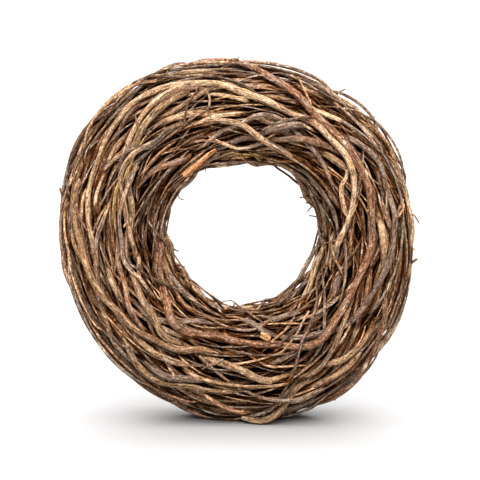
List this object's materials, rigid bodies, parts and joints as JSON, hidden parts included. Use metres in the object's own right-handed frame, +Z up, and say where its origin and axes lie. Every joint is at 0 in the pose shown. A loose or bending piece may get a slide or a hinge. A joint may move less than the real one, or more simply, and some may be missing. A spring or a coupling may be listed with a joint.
{
  "type": "grapevine wreath",
  "caption": "Thick round wreath of dry grapevine canes wound over one another round an open hole, standing on its rim.",
  "frame": {"origin": "on the floor, below the middle of the ring's box", "axes": "+Z up with the ring standing on its rim, ring axis along Y, face to -Y, +X to the right seen from the face"},
  "size_m": [0.3552, 0.1163, 0.3611],
  "materials": {
    "inner_bark": "dark dry bark in the shade of the outer canes",
    "grey_bark": "weathered grey bark, dry and fibrous",
    "brown_bark": "reddish brown bark, dry",
    "ochre_bark": "ochre bark, smooth in stretches",
    "pale_bark": "pale peeled cane, dry",
    "twig_bark": "dark thin twig bark"
  },
  "bodies": {
    "root": {"inner_bundle": "inner_bark", "vine_01": "grey_bark", "vine_02": "brown_bark", "vine_03": "ochre_bark", "vine_04": "pale_bark", "vine_05": "grey_bark", "vine_06": "brown_bark", "vine_07": "ochre_bark", "vine_08": "pale_bark", "vine_09": "grey_bark", "vine_10": "brown_bark", "vine_11": "ochre_bark", "vine_12": "pale_bark", "vine_13": "grey_bark", "vine_14": "brown_bark", "vine_15": "ochre_bark", "vine_16": "pale_bark", "vine_17": "grey_bark", "vine_18": "brown_bark", "vine_19": "ochre_bark", "vine_20": "pale_bark", "vine_21": "grey_bark", "vine_22": "brown_bark", "vine_23": "ochre_bark", "vine_24": "pale_bark", "vine_25": "grey_bark", "vine_26": "brown_bark", "vine_27": "ochre_bark", "vine_28": "pale_bark", "vine_29": "grey_bark", "vine_30": "brown_bark", "vine_31": "ochre_bark", "vine_32": "pale_bark", "vine_33": "grey_bark", "vine_34": "brown_bark", "vine_35": "ochre_bark", "vine_36": "pale_bark", "vine_37": "grey_bark", "vine_38": "brown_bark", "vine_39": "ochre_bark", "vine_40": "pale_bark", "vine_41": "grey_bark", "vine_42": "brown_bark", "vine_43": "ochre_bark", "vine_44": "pale_bark", "vine_45": "grey_bark", "vine_46": "brown_bark", "vine_47": "ochre_bark", "twig_01": "twig_bark", "twig_02": "twig_bark", "twig_03": "twig_bark", "twig_04": "twig_bark", "twig_05": "twig_bark", "twig_06": "twig_bark", "twig_07": "twig_bark", "twig_08": "twig_bark", "twig_09": "twig_bark", "twig_10": "twig_bark", "twig_11": "twig_bark", "twig_12": "twig_bark"}
  },
  "joints": []
}
